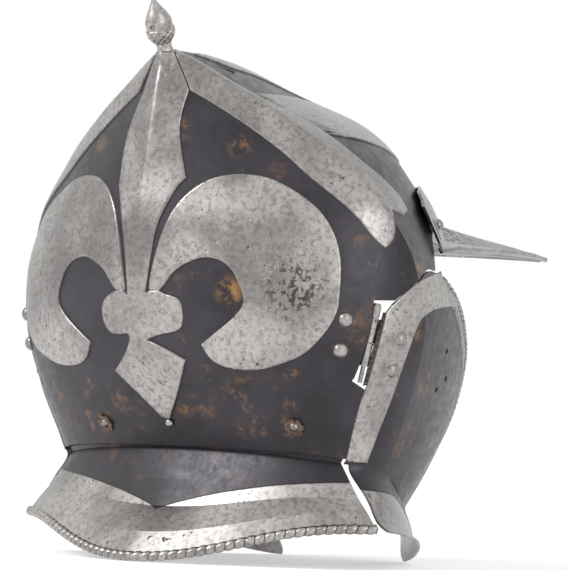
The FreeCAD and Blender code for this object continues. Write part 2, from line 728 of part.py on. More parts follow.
def make_peak(clear_bowl):
    body = make_flange().fuse(make_visor(clear_bowl))
    for hand in (1, -1):
        foot, out = pivot_place(hand)
        body = drill(body, foot, out, PIVOT_RIVET[2] + PIVOT_HOLE_GAP)
        start, end = (60, 120) if hand == 1 else (-120, -60)
        slot = edge_outline([SLOT_LOW, SLOT_HIGH], SLOT_RADIUS)
        slot += list(reversed(edge_outline([SLOT_LOW, SLOT_HIGH], -SLOT_RADIUS)))
        body = body.cut(side_prism(slot, start, end))
    return body


def make_pivot_rivet(hand):
    foot, out = pivot_place(hand)
    turn, _ = find(PIVOT_HEIGHT, forward=PIVOT_FORWARD)
    above = stand_off(turn) + PEAK_SHEET + PIVOT_HEAD_GAP
    return dome_rivet(foot, out, PIVOT_RIVET, above, SHEET)


def make_pivot_washer(hand):
    foot, out = pivot_place(hand)
    disc = Part.makeCylinder(PIVOT_WASHER[0], PIVOT_WASHER[1], foot + out * 0.15, out)
    return disc.cut(Part.makeCylinder(PIVOT_RIVET[2] + SHANK_GAP, 10, foot - out * 5, out))


def save(name, shape):
    if not shape.isValid():
        print("invalid", name)
    shape.exportStep("parts/%s.step" % name)
    print(name, round(shape.Volume), len(shape.Solids))


os.makedirs("parts", exist_ok=True)
outer_bowl = bowl_solid(0.0, 200, -200)
inner_bowl = bowl_solid(SHEET, CAVITY_TOP, -200)
save("skull", make_skull(outer_bowl, inner_bowl))
save("acorn_finial", make_finial(outer_bowl))
save("finial_washer", make_finial_washer(inner_bowl))
save("neck_guard", make_neck_guard())
save("nape_rivets", make_rivets(nape_places(), NAPE_RIVET, FIT_GAP + ROSETTE_SHEET,
                                SHEET + FIT_GAP + COLLAR_SHEET + 0.2))
save("nape_rosettes", make_rosettes())
save("peak", make_peak(bowl_solid(-1.8, 200, -60)))
cheekpiece = make_cheekpiece(outer_bowl, inner_bowl)
leaf_layer = shell_between(SHEET + FIT_GAP, SHEET + FIT_GAP + LEAF_SHEET)
riveted = SHEET + FIT_GAP + LEAF_SHEET + 0.15
right_parts = {
    "cheekpiece": cheekpiece,
    "skull_hinge_leaf": make_leaf("skull", skull_rivet_places(), leaf_layer),
    "cheek_hinge_leaf": make_leaf("cheek", cheek_rivet_places(), leaf_layer),
    "hinge_pin": make_pin(),
    "skull_hinge_rivets": make_rivets(skull_rivet_places(), HINGE_RIVET, 0.1, riveted),
    "cheek_hinge_rivets": make_rivets(cheek_rivet_places(), HINGE_RIVET, 0.1, riveted),
    "peak_pivot_rivet": make_pivot_rivet(1),
    "peak_pivot_washer": make_pivot_washer(1),
}
for name, shape in right_parts.items():
    save(name + "_right", shape)
    save(name + "_left", mirrored(shape))
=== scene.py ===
import bpy
import math
import numpy as np
from mathutils import Matrix, Vector
from mathutils.bvhtree import BVHTree
from mathutils.geometry import delaunay_2d_cdt


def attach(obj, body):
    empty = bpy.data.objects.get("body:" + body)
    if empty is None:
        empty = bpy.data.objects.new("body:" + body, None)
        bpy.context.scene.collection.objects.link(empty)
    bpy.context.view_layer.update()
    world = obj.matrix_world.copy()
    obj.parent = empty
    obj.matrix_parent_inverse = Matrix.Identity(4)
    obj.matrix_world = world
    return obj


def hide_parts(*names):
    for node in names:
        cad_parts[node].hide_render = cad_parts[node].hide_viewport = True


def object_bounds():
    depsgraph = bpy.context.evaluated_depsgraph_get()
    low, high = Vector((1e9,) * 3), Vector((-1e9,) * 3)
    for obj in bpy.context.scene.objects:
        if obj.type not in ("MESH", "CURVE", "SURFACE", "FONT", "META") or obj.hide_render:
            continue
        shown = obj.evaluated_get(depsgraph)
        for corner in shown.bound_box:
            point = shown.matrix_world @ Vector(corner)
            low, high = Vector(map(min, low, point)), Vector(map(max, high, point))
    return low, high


# Looks of a burgonet: polished lilies and bands stand proud of a blackened skull, with
# roped edges, an acorn finial, and old iron with pits, scuffs and rust.
# Points of the helmet are (side to the wearer's right, forward of the apex, height) in
# millimetres; at() turns them into metres in the part's own frame.
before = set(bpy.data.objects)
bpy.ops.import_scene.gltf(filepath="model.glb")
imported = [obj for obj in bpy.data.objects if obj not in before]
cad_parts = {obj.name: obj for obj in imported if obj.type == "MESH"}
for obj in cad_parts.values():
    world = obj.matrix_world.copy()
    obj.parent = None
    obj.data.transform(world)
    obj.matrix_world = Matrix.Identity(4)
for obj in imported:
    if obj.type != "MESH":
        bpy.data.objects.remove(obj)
CAD_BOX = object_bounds()

STANCE = math.radians(2.0)
FORWARD_MIDDLE, STAND_HEIGHT = 145.1, 128.5
TILT = math.radians(12.0)
OVAL = 0.5523
# Height, back ridge, half width, place of the side ridge, front ridge, sharpness of the
# back and front quarters, fullness of the back
SECTIONS = [
    (105.8, 19.5, 3.5, 22.5, 26.5, 0.60, 0.60, 0.55),
    (101.5, 18.5, 11.0, 24.5, 43.0, 0.85, 0.85, 0.55),
    (90.5, 13.3, 28.0, 28.0, 73.0, 0.85, 0.80, 0.55),
    (75.0, 6.8, 51.5, 32.5, 104.0, 0.75, 0.70, 0.55),
    (52.0, -2.5, 80.0, 38.4, 141.0, 0.52, 0.35, 0.55),
    (26.0, -12.5, 102.5, 43.4, 171.0, 0.30, 0.55, 0.58),
    (0.0, -18.2, 110.5, 49.0, 187.0, 0.08, 0.60, 0.61),
    (-25.0, -19.0, 112.0, 50.0, 189.0, 0.00, 0.38, 0.63),
    (-50.0, -13.5, 107.5, 46.0, 184.0, 0.00, 0.23, 0.66),
    (-75.0, -4.5, 98.5, 41.0, 175.0, 0.00, 0.13, 0.72),
    (-92.0, 3.0, 91.5, 37.0, 165.0, 0.00, 0.08, 0.80),
    (-112.0, 10.0, 82.0, 42.0, 151.0, 0.00, 0.18, 0.76),
    (-135.0, 16.0, 66.0, 44.0, 136.0, 0.00, 0.30, 0.70),
]
RAISED = 0.9             # how far lilies and bands stand proud of the bowl
BORDER_RAISED = 0.5      # the same for the cheekpieces' border
PLATE_STEP = 1.9         # spacing of points inside a raised plate, in pixels of the photograph

# The photographer's place: turned round from behind, tilt of the picture, distance
VIEW_TURN = math.radians(38.0)
VIEW_ROLL = math.radians(0.7)
VIEW_PLACE = (1276.4, -1540.8, 0.0)
VIEW_AHEAD = (-0.6157, 0.7880, 0.0)
VIEW_UP = (0.0, 0.0, 1.0)
FOCAL = 4300.0           # pixels
PICTURE = 570.0

# Outlines as seen in the photograph, in pixels; a third value of 1 marks a sharp corner
LILY_MIDDLE = [
    (159, 50, 1), (173, 48, 1), (186, 78), (190, 90, 1), (182, 113), (179.5, 136), (187, 178, 1),
    (178, 186), (171, 198), (160, 218), (154.5, 236), (151, 258), (146.5, 292, 1), (150, 290, 1),
    (160, 289.5, 1), (164, 293), (172, 295), (180, 298), (184, 314), (183, 328), (175, 332.5),
    (163, 334), (148.5, 339.5, 1), (156, 343, 1), (170, 350), (186.5, 359.5, 1), (179, 394), (171, 419, 1),
    (163, 417.5, 1), (140, 394), (115, 370, 1), (124, 356), (130, 341), (129, 333), (120, 335),
    (110, 333), (103, 320), (102, 304), (107, 295), (117, 289), (124, 288), (127.5, 294, 1), (125.5, 254),
    (122, 218), (119.5, 186, 1), (125, 145), (134, 116), (145, 90, 1), (151, 70),
]
LILY_LOBE = [
    (150, 291, 1), (148.3, 285), (154.5, 255), (164.5, 224), (177, 203), (194, 187), (214, 176.5),
    (238, 173), (263.6, 175.5), (285, 184), (312, 202), (327, 218), (338, 240), (342, 264),
    (341, 285), (339.5, 307), (334, 321), (321, 339), (303, 356), (285, 363), (264, 370),
    (244, 371), (222, 367), (209, 358), (201, 344, 1), (218, 330), (233, 318), (242, 307),
    (243.6, 296), (238, 284), (234, 273), (224, 262), (207, 257), (191, 261), (174, 271),
    (165, 285), (160.5, 290.5, 1),
]
SIDE_BAND = [
    (172, 48, 1), (205.5, 65), (230, 81), (268, 102), (306, 120), (338, 141.6), (357.5, 158),
    (383, 178.6), (401, 198), (407.5, 211, 1), (403, 216, 1), (397, 213), (392, 211, 1),
    (396, 228), (393.5, 241), (385.6, 249, 1), (374, 240), (357.6, 218), (338, 200), (306, 175),
    (285, 154.5), (254, 131), (218, 107), (190, 91, 1), (183, 72),
]
CHEEK_BORDER = [
    (391, 305.5, 1), (407, 290.5), (422, 279), (441, 271), (453, 271.5), (460, 277), (462.5, 290),
    (462.5, 307, 1), (446, 307), (432, 310.5), (422, 319), (416, 330), (410, 348), (402, 370),
    (393.5, 396), (381, 427), (367, 464, 1), (345.5, 462, 1), (353, 427), (360.5, 400),
    (366.5, 386, 1), (377, 350), (386, 312, 1),
]
SKULL_BESIDE_HINGE = [
    (358, 297, 1), (374, 300, 1), (374.5, 312), (369, 336), (361, 362), (354.5, 378, 1),
    (352, 381, 1), (364.5, 389.5, 1), (362, 395, 1), (331, 395, 1), (346, 358), (359, 322),
]
# Outline of the sunk dark strip beside the hinge, painted shade in the gap behind the cheekpiece's edge
CHEEK_BESIDE_HINGE = [
    (384, 312, 1), (387, 314, 1), (378, 350), (368, 385, 1), (363, 386, 1), (374, 346),
]
# The cheekpieces' front edge, seen from the side, as (forward, height)
CHEEK_FRONT = [(89, 3.4), (99, -4), (112, -15), (128, -31), (139, -48), (144, -66), (144, -85), (139, -104)]
EDGE_MARGIN = 1.5        # how far the polished border stays behind the cheekpiece's front edge
FRONT_LILY_FOOT, FRONT_LILY_NARROW = 51.0, 0.70

# Neck guard's edge
RIM_END_SIDE, RIM_CORNER, RIM_LOW, RIM_RISE, RIM_RISE_SIDE = 105.0, -23.0, -125.4, 14.8, 95.0
ROPE_RADIUS = 2.4
ROPE_PITCH = 4.7         # length between two neighbouring grooves of the twist
PEAK_EDGE = [(92, 100, 17.5), (88, 113, 18.6), (80, 134, 18.4), (68, 166, 18.2),
             (53, 202, 18.2), (36, 239, 18.0), (18, 277, 17.0), (0, 313, 15.3)]
PEAK_ROPE_RADIUS = 1.4

# Finial: distance along its leaning axis and radius
FINIAL_FOOT = (0.0, 1.0, 106.6)
FINIAL_LEAN = math.radians(22.0)
FINIAL_LENGTH = 28.2
FINIAL_PROFILE = [(0, 4.6), (1.2, 4.2), (3.4, 3.5), (5.2, 3.6), (7.6, 5.3), (10.4, 6.7),
                  (12.6, 6.9), (13.2, 6.2), (16.0, 6.3), (19.5, 5.1), (23.2, 2.9),
                  (26.4, 1.1), (28.2, 0.5)]

# Places of stains, as (side, forward, height, radius)
HINGE_RIVETS = [(97.6, 14.7, -15.3, 6), (94.5, 14.6, -29.2, 6),
                (112.7, 31.9, -25, 6.5), (108.6, 31.6, -37.7, 6.5)]
# Stains seen in the photograph, as (pixel x, pixel y, radius in millimetres)
GOLDEN_PATCH = (229, 291, 9)
PIT_CLUSTER = (294, 288, 21)
RUST_SPOTS = [(225, 385, 4), (232, 391, 3), (240, 397, 5), (247, 408, 4), (255, 420, 4),
              (262, 431, 4), (290, 372, 5), (290, 405, 5), (122, 402, 9), (140, 408, 6),
              (288, 427, 8), (102, 423, 8), (135, 130, 9), (150, 105, 8), (415, 330, 9),
              (425, 385, 11), (405, 440, 12), (240, 145, 8), (420, 270, 8)]


def at(side, forward, height):
    level_forward = forward * math.cos(STANCE) - height * math.sin(STANCE)
    level_height = forward * math.sin(STANCE) + height * math.cos(STANCE)
    return Vector((-side, FORWARD_MIDDLE - level_forward, level_height + STAND_HEIGHT)) / 1000


def turned(direction):
    """A direction of the helmet in the part's own frame."""
    return (at(*direction) - at(0, 0, 0)).normalized()


def smooth(pairs, x):
    """Value at x of a smooth curve through (x, value) pairs that never overshoots."""
    pairs = sorted(pairs)
    x = min(max(x, pairs[0][0]), pairs[-1][0])
    slopes = [(b[1] - a[1]) / (b[0] - a[0]) for a, b in zip(pairs, pairs[1:])]
    tangents = [slopes[0]]
    for before, after in zip(slopes, slopes[1:]):
        rising = before * after > 0
        tangents.append(2 * before * after / (before + after) if rising else 0.0)
    tangents.append(slopes[-1])
    i = max(k for k in range(len(slopes)) if k == 0 or pairs[k][0] <= x)
    (x0, y0), (x1, y1) = pairs[i], pairs[i + 1]
    w = x1 - x0
    t = (x - x0) / w
    start = y0 * (1 + 2 * t) * (1 - t) ** 2 + w * tangents[i] * t * (1 - t) ** 2
    end = y1 * t * t * (3 - 2 * t) + w * tangents[i + 1] * t * t * (t - 1)
    return start + end


def quarter_handles(height, part):
    """Four control points (side, along) of one quarter of the bowl's section."""
    back, width, place, front, back_sharp, front_sharp, full = [
        smooth([(row[0], row[column]) for row in SECTIONS], height) for column in range(1, 8)]
    end, sharp, handle = (back, back_sharp, full) if part == "back" else (front, front_sharp, OVAL)
    reach = end - place
    oval = [(width, place + handle * reach), (handle * width, end)]
    straight = [(width * 2 / 3, place + reach / 3), (width / 3, end - reach / 3)]
    middle = [tuple(o + (s - o) * sharp for o, s in zip(*pair)) for pair in zip(oval, straight)]
    return [(width, place)] + middle + [(0.0, end)]


def bowl_row(height, count):
    """Points of one section, from the back ridge round the right side to the front ridge."""
    points = []
    for part, turns in (("back", range(count, 0, -1)), ("front", range(count + 1))):
        handles = quarter_handles(height, part)
        for k in turns:
            u = k / count
            weights = ((1 - u) ** 3, 3 * u * (1 - u) ** 2, 3 * u * u * (1 - u), u ** 3)
            side = sum(w * p[0] for w, p in zip(weights, handles))
            along = sum(w * p[1] for w, p in zip(weights, handles))
            forward = along * math.cos(TILT) - height * math.sin(TILT)
            points.append((side, forward, along * math.sin(TILT) + height * math.cos(TILT)))
    return points


def bowl_tree():
    """The smooth bowl without relief, to find places on it and outward directions."""
    rows = []
    for step in range(171):
        right = bowl_row(105.8 - 240.8 * step / 170, 60)
        left = [(-s, f, z) for s, f, z in reversed(right[1:-1])]
        rows.append(right + left)
    count = len(rows[0])
    points = [Vector(p) for row in rows for p in row]
    faces = []
    for i in range(len(rows) - 1):
        for j in range(count):
            k = (j + 1) % count
            faces.append((i * count + j, i * count + k, (i + 1) * count + k, (i + 1) * count + j))
    faces.append(tuple(range(count)))
    return BVHTree.FromPolygons(points, faces)


BOWL = bowl_tree()
BOWL_MIDDLE = Vector((0, 60, 0))


def view_axes():
    """Right, up and ahead directions of the photographer's picture."""
    ahead = Vector(VIEW_AHEAD).normalized()
    right = ahead.cross(Vector(VIEW_UP)).normalized()
    up = right.cross(ahead)
    across = right * math.cos(VIEW_ROLL) + up * math.sin(VIEW_ROLL)
    rise = up * math.cos(VIEW_ROLL) - right * math.sin(VIEW_ROLL)
    return across, rise, ahead


def on_ray(start, direction):
    """Point of the bowl that a ray meets, and the way out of the bowl there."""
    point, normal, _, _ = BOWL.ray_cast(start, direction)
    if point is None:
        near = start + direction * (BOWL_MIDDLE - start).dot(direction)
        point, normal, _, _ = BOWL.find_nearest(near)
    if normal.dot(point - BOWL_MIDDLE) < 0:
        normal = -normal
    return point, normal


def seen(x, y):
    """Point of the bowl at a pixel of the photograph."""
    across, rise, ahead = view_axes()
    direction = ahead * FOCAL + across * (x - PICTURE / 2) + rise * (PICTURE / 2 - y)
    return on_ray(Vector(VIEW_PLACE), direction.normalized())


def on_front(x, y):
    """Point of the front that matches the back's point at a pixel of the photograph."""
    point, _ = seen(x, y)
    level = FRONT_LILY_FOOT + (point.z + 63) * (107 - FRONT_LILY_FOOT) / 170
    start = Vector((point.x * FRONT_LILY_NARROW, 400, level))
    return on_ray(start, Vector((0, -1, 0)))


def from_side(forward, height):
    """Point of the right side of the bowl at a place seen from the side."""
    return on_ray(Vector((400, forward, height)), Vector((-1, 0, 0)))


def on_cheek(x, y):
    """Point of the right cheekpiece at a pixel, kept behind its front edge."""
    point, normal = seen(x, y)
    limit = smooth([(height, forward) for forward, height in CHEEK_FRONT], point.z) - EDGE_MARGIN
    if point.y > limit:
        return from_side(limit, point.z)
    return point, normal


def rounded(outline, rounds=2):
    """The outline with its unmarked corners cut smooth."""
    points = [(p[0], p[1], len(p) > 2) for p in outline]
    for _ in range(rounds):
        result = []
        for i, (x, y, sharp) in enumerate(points):
            if sharp:
                result.append((x, y, True))
                continue
            before, after = points[i - 1], points[(i + 1) % len(points)]
            result.append((x + (before[0] - x) * 0.25, y + (before[1] - y) * 0.25, False))
            result.append((x + (after[0] - x) * 0.25, y + (after[1] - y) * 0.25, False))
        points = result
    return np.array([(x, y) for x, y, _ in points])


def dense(outline, step):
    """The outline with points at most one step apart."""
    result = []
    for a, b in zip(outline, np.roll(outline, -1, axis=0)):
        pieces = max(1, int(np.hypot(*(b - a)) / step))
        result += [a + (b - a) * k / pieces for k in range(pieces)]
    return np.array(result)


def inside(points, outline):
    """Which points lie inside an outline."""
    x, y = points[:, 0], points[:, 1]
    found = np.zeros(len(points), bool)
    for (ax, ay), (bx, by) in zip(outline, np.roll(outline, -1, axis=0)):
        if ay == by:
            continue
        crosses = (ay > y) != (by > y)
        found ^= crosses & (x < (bx - ax) * (y - ay) / (by - ay) + ax)
    return found


def edge_distance(points, outline):
    """Distance of each point from an outline."""
    best = np.full(len(points), 1e9)
    for a, b in zip(outline, np.roll(outline, -1, axis=0)):
        d = b - a
        t = np.clip(((points - a) @ d) / max(d @ d, 1e-12), 0, 1)
        best = np.minimum(best, np.hypot(*(points - a - t[:, None] * d).T))
    return best


def add_mesh(name, points, faces, body, material):
    mesh = bpy.data.meshes.new(name)
    mesh.from_pydata([tuple(p) for p in points], [], faces)
    mesh.validate()
    piece = bpy.data.objects.new(name, mesh)
    bpy.context.scene.collection.objects.link(piece)
    mesh.materials.append(material)
    mesh.shade_smooth()
    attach(piece, body)
    return piece


def flat_mesh(outline, step, cut):
    """Triangles that fill an outline, with a ring of points just inside its edge."""
    edge = dense(rounded(outline), step * 0.6)
    low, high = edge.min(axis=0), edge.max(axis=0)
    columns, rows = np.arange(low[0], high[0], step), np.arange(low[1], high[1], step)
    grid = np.array([(x, y) for x in columns for y in rows])
    grid = grid[inside(grid, edge)]
    grid = grid[edge_distance(grid, edge) > cut * 1.7]
    along = np.roll(edge, -1, axis=0) - np.roll(edge, 1, axis=0)
    across = np.stack([-along[:, 1], along[:, 0]], axis=1)
    across /= np.maximum(np.hypot(*across.T), 1e-9)[:, None]
    ring = np.concatenate([edge + across * cut, edge - across * cut])
    ring = ring[inside(ring, edge)]
    ring = ring[edge_distance(ring, edge) > cut * 0.8]
    flat = np.concatenate([edge, ring, grid])
    loop = [(i, (i + 1) % len(edge)) for i in range(len(edge))]
    found = delaunay_2d_cdt([Vector(p) for p in flat], loop, [], 1, 1e-5)
    corners = np.array([tuple(p) for p in found[0]])
    return corners, [tuple(f) for f in found[2]], edge_distance(corners, edge)


def raised_plate(name, outline, place, lift, body, material, hands=(1,), step=PLATE_STEP, cut=0.9):
    """A plate that follows the bowl, with a steep rounded edge; hands mirror it."""
    corners, faces, depth = flat_mesh(outline, step, cut)
    spots = [place(x, y) for x, y in corners]
    bodies = {1: body, -1: body.replace("right", "left")}
    for hand in hands:
        points = []
        for (point, normal), inner in zip(spots, depth):
            rise = -0.15 + (lift + 0.15) * min(inner / cut, 1.0) ** 0.6
            moved = point + normal * rise
            corner = at(hand * moved.x, moved.y, moved.z)
            corner.x = min(max(corner.x, CAD_BOX[0][0]), CAD_BOX[1][0])
            points.append(corner)
        full = name if len(hands) == 1 else name + ("_right" if hand == 1 else "_left")
        piece = add_mesh(full, points, faces, bodies[hand], material)
        # Distance from the plate's edge, used by the raised steel's colour to paint shade along the bevelled
        # edge
        attribute = piece.data.attributes.new("edge_shade", "FLOAT", "POINT")
        attribute.data.foreach_set("value", np.clip(depth / 4.0, 0, 1).astype(np.float32))
        turn_outward(piece)


def turn_outward(piece):
    """Faces of a plate look away from the middle of the helmet."""
    middle = at(*BOWL_MIDDLE)
    mesh = piece.data
    votes = sum(1 if f.normal.dot(f.center - middle) > 0 else -1 for f in mesh.polygons)
    if votes < 0:
        mesh.flip_normals()


def even_path(points, step):
    """A smooth path through points with even spacing in metres, and the distance along it."""
    knots = np.array([tuple(p) for p in points])
    padded = np.vstack([2 * knots[0] - knots[1], knots, 2 * knots[-1] - knots[-2]])
    fine = []
    for i in range(len(knots) - 1):
        a, b, c, d = padded[i:i + 4]
        for t in np.linspace(0, 1, 24, endpoint=False):
            fine.append(0.5 * (2 * b + (c - a) * t + (2 * a - 5 * b + 4 * c - d) * t * t
                               + (3 * b - a - 3 * c + d) * t ** 3))
    fine = np.array(fine + [knots[-1]])
    lengths = np.concatenate([[0], np.cumsum(np.linalg.norm(np.diff(fine, axis=0), axis=1))])
    marks = np.linspace(0, lengths[-1], max(8, int(lengths[-1] / step)))
    return np.stack([np.interp(marks, lengths, fine[:, k]) for k in range(3)], axis=1), marks


def tube_faces(rings, around):
    faces = []
    for i in range(rings - 1):
        for k in range(around):
            n = (k + 1) % around
            faces.append((i * around + k, i * around + n, (i + 1) * around + n, (i + 1) * around + k))
    faces.append(tuple(reversed(range(around))))
    faces.append(tuple(range((rings - 1) * around, rings * around)))
    return faces


def rope(name, points, radius, pitch, body, material, depth=0.26, around=16):
    """A bead with the grooves of a twist, wound round a path."""
    path, marks = even_path(points, 0.00045)
    tangents = np.gradient(path, axis=0)
    tangents /= np.linalg.norm(tangents, axis=1)[:, None]
    verts, waves = [], []
    for point, tangent, mark in zip(path, tangents, marks):
        first = np.cross(tangent, np.array([0.0, 0.0, 1.0]))
        first /= np.linalg.norm(first)
        second = np.cross(first, tangent)
        for k in range(around):
            angle = 2 * math.pi * k / around
            wave = abs(math.sin(angle / 2 - math.pi * mark / pitch))
            waves.append(wave)
            size = radius * (1 - depth + depth * wave ** 0.6)
            corner = point + size * (first * math.cos(angle) + second * math.sin(angle))
            verts.append(np.clip(corner, CAD_BOX[0], CAD_BOX[1]))
    piece = add_mesh(name, verts, tube_faces(len(path), around), body, material)
    # Depth of the twist, used by the raised steel's colour to paint shade into the grooves
    attribute = piece.data.attributes.new("edge_shade", "FLOAT", "POINT")
    attribute.data.foreach_set("value", np.array(waves, np.float32) * 0.7)


class Nodes:
    """Short ways to add shader nodes to a material."""

    def __init__(self, name):
        self.material = bpy.data.materials.new(name)
        self.material.use_nodes = True
        self.tree = self.material.node_tree
        self.shader = self.tree.nodes["Principled BSDF"]
        self.coords = self.tree.nodes.new("ShaderNodeTexCoord").outputs["Object"]

    def link(self, source, target):
        if isinstance(source, (int, float)):
            target.default_value = source
        elif isinstance(source, tuple):
            target.default_value = source + (1.0,) if len(source) == 3 else source
        else:
            self.tree.links.new(source, target)

    def noise(self, scale, detail=6.0, roughness=0.6, stretch=None):
        node = self.tree.nodes.new("ShaderNodeTexNoise")
        node.inputs["Scale"].default_value = scale
        node.inputs["Detail"].default_value = detail
        node.inputs["Roughness"].default_value = roughness
        source = self.coords
        if stretch:
            mapping = self.tree.nodes.new("ShaderNodeMapping")
            mapping.inputs["Scale"].default_value = stretch
            mapping.inputs["Rotation"].default_value = (0.3, 0.5, 0.2)
            self.link(self.coords, mapping.inputs["Vector"])
            source = mapping.outputs["Vector"]
        self.link(source, node.inputs["Vector"])
        return node.outputs["Fac"]

    def band(self, source, low, high, start=0.0, end=1.0, kind="SMOOTHSTEP"):
        node = self.tree.nodes.new("ShaderNodeMapRange")
        node.interpolation_type = kind
        for socket, value in zip(node.inputs, (source, low, high, start, end)):
            self.link(value, socket)
        return node.outputs["Result"]

    def math(self, operation, a, b=0.0):
        node = self.tree.nodes.new("ShaderNodeMath")
        node.operation = operation
        self.link(a, node.inputs[0])
        self.link(b, node.inputs[1])
        return node.outputs[0]

    def mix(self, share, a, b):
        node = self.tree.nodes.new("ShaderNodeMix")
        node.data_type = "RGBA"
        self.link(share, node.inputs[0])
        self.link(a, node.inputs[6])
        self.link(b, node.inputs[7])
        return node.outputs[2]

    def near(self, side, forward, height, radius):
        """1 at a place of the helmet, fading to 0 at the radius."""
        node = self.tree.nodes.new("ShaderNodeVectorMath")
        node.operation = "DISTANCE"
        self.link(self.coords, node.inputs[0])
        node.inputs[1].default_value = at(side, forward, height)
        return self.band(node.outputs["Value"], radius * 0.0003, radius * 0.001, 1.0, 0.0)

    def any_near(self, places):
        total = self.near(*places[0])
        for place in places[1:]:
            total = self.math("MAXIMUM", total, self.near(*place))
        return total

    def axis(self, index):
        node = self.tree.nodes.new("ShaderNodeSeparateXYZ")
        self.link(self.coords, node.inputs[0])
        return node.outputs[index]

    def attribute(self, name):
        node = self.tree.nodes.new("ShaderNodeAttribute")
        node.attribute_name = name
        return node.outputs["Fac"]

    def level_curve(self, source, pairs):
        """A level that changes smoothly with the source through (place, level) pairs."""
        node = self.tree.nodes.new("ShaderNodeFloatCurve")
        start, end = pairs[0][0], pairs[-1][0]
        low, high = min(level for _, level in pairs), max(level for _, level in pairs)
        self.link(self.band(source, start, end, kind="LINEAR"), node.inputs["Value"])
        points = node.mapping.curves[0].points
        spots = [((p - start) / (end - start), (level - low) / (high - low)) for p, level in pairs]
        points[0].location = spots[0]
        points[1].location = spots[-1]
        for spot in spots[1:-1]:
            points.new(*spot)
        node.mapping.update()
        return self.math("ADD", self.math("MULTIPLY", node.outputs["Value"], high - low), low)

    def bump(self, height, distance, strength=0.6):
        node = self.tree.nodes.new("ShaderNodeBump")
        node.inputs["Distance"].default_value = distance
        node.inputs["Strength"].default_value = strength
        self.link(height, node.inputs["Height"])
        self.link(node.outputs["Normal"], self.shader.inputs["Normal"])

    def surface(self, color, roughness, metallic):
        self.link(color, self.shader.inputs["Base Color"])
        self.link(roughness, self.shader.inputs["Roughness"])
        self.link(metallic, self.shader.inputs["Metallic"])
        return self.material


def stained(pixels):
    """Places on the bowl of stains given in pixels."""
    return [tuple(seen(x, y)[0]) + (radius,) for x, y, radius in pixels]


def mirrored(places):
    return places + [(-p[0],) + p[1:] for p in places]


def steel_layers(n, heavy_pits=None):
    """Colour, roughness and height of old polished steel with pits and brown freckles."""
    clouds = n.noise(22.0, 5.0)
    grain = n.noise(420.0, 4.0, 0.7)
    scratches = n.noise(260.0, 3.0, 0.6, (0.08, 1.0, 1.0))
    color = n.mix(n.band(clouds, 0.35, 0.65), (0.25, 0.24, 0.235), (0.43, 0.415, 0.40))
    color = n.mix(n.band(grain, 0.42, 0.66, 0.0, 0.6), color, (0.14, 0.125, 0.115))
    pits = n.math("MULTIPLY", n.band(n.noise(330.0, 3.0, 0.65), 0.62, 0.7), n.band(n.noise(45.0), 0.4, 0.62))
    if heavy_pits:
        dense_pits = n.band(n.noise(300.0, 4.0, 0.75), 0.5, 0.56)
        pits = n.math("MAXIMUM", pits, n.math("MULTIPLY", dense_pits, n.any_near(heavy_pits)))
    color = n.mix(n.math("MULTIPLY", pits, 0.85), color, (0.045, 0.036, 0.032))
    freckles = n.math("MULTIPLY", n.band(n.noise(120.0, 4.0, 0.7), 0.6, 0.72), n.band(n.noise(16.0), 0.5, 0.65))
    color = n.mix(n.math("MULTIPLY", freckles, 0.55), color, (0.13, 0.075, 0.045))
    rough = n.math("ADD", n.band(clouds, 0.3, 0.7, 0.27, 0.4), n.math("MULTIPLY", pits, 0.3))
    height = n.math("SUBTRACT", n.math("MULTIPLY", scratches, 0.12), n.math("MULTIPLY", pits, 0.8))
    height = n.math("ADD", height, n.math("MULTIPLY", grain, 0.15))
    return color, rough, height


def black_layers(n, spots):
    """Colour, roughness and height of blackened iron with brown scuffs and rust."""
    clouds = n.noise(14.0, 6.0, 0.65)
    fine = n.noise(210.0, 5.0, 0.7)
    color = n.mix(n.band(clouds, 0.38, 0.64), (0.014, 0.012, 0.0155), (0.036, 0.031, 0.039))
    scuffs = n.math("MULTIPLY", n.band(n.noise(85.0, 6.0, 0.75), 0.56, 0.68), n.band(n.noise(11.0), 0.5, 0.62))
    color = n.mix(n.math("MULTIPLY", scuffs, 0.7), color, (0.12, 0.062, 0.034))
    worn = n.math("MULTIPLY", n.band(n.noise(160.0, 5.0, 0.8), 0.6, 0.7), n.band(n.noise(19.0), 0.45, 0.6))
    color = n.mix(n.math("MULTIPLY", worn, 0.4), color, (0.16, 0.145, 0.14))
    rust = n.math("MULTIPLY", n.any_near(spots), n.band(n.noise(190.0, 5.0, 0.8), 0.45, 0.6))
    color = n.mix(n.math("MULTIPLY", rust, 0.85), color, (0.16, 0.085, 0.045))
    rough = n.band(fine, 0.3, 0.7, 0.3, 0.46)
    height = n.math("ADD", n.math("MULTIPLY", fine, 0.3), n.math("MULTIPLY", clouds, 0.6))
    return color, rough, height


def white_steel():
    n = Nodes("raised_steel")
    color, rough, height = steel_layers(n, stained([PIT_CLUSTER]))
    halo = n.math("MULTIPLY", n.any_near(mirrored(HINGE_RIVETS[2:])), n.band(n.noise(160.0), 0.35, 0.55))
    color = n.mix(n.math("MULTIPLY", halo, 0.8), color, (0.07, 0.043, 0.03))
    # Painted shade: the steel turns dark along the bevelled edges of raised plates and in the grooves of the
    # ropes
    color = n.mix(n.band(n.attribute("edge_shade"), 0.0, 0.3), (0.06, 0.052, 0.05), color)
    n.bump(height, 0.0004)
    return n.surface(color, rough, 1.0)


def plain_steel(name, dark=0.0, spots=None):
    n = Nodes(name)
    color, rough, height = steel_layers(n, spots)
    if dark:
        color = n.mix(dark, color, (0.06, 0.05, 0.045))
    n.bump(height, 0.0004)
    return n.surface(color, rough, 1.0)


def black_iron():
    n = Nodes("blackened_iron")
    color, rough, height = black_layers(n, mirrored(stained(RUST_SPOTS)) + mirrored(HINGE_RIVETS[:2]))
    golden = n.math("MULTIPLY", n.near(*stained([GOLDEN_PATCH])[0]), n.band(n.noise(120.0, 5.0, 0.8), 0.4, 0.6))
    color = n.mix(n.math("MULTIPLY", golden, 0.9), color, (0.32, 0.17, 0.055))
    n.bump(height, 0.0005)
    return n.surface(color, rough, 0.35)


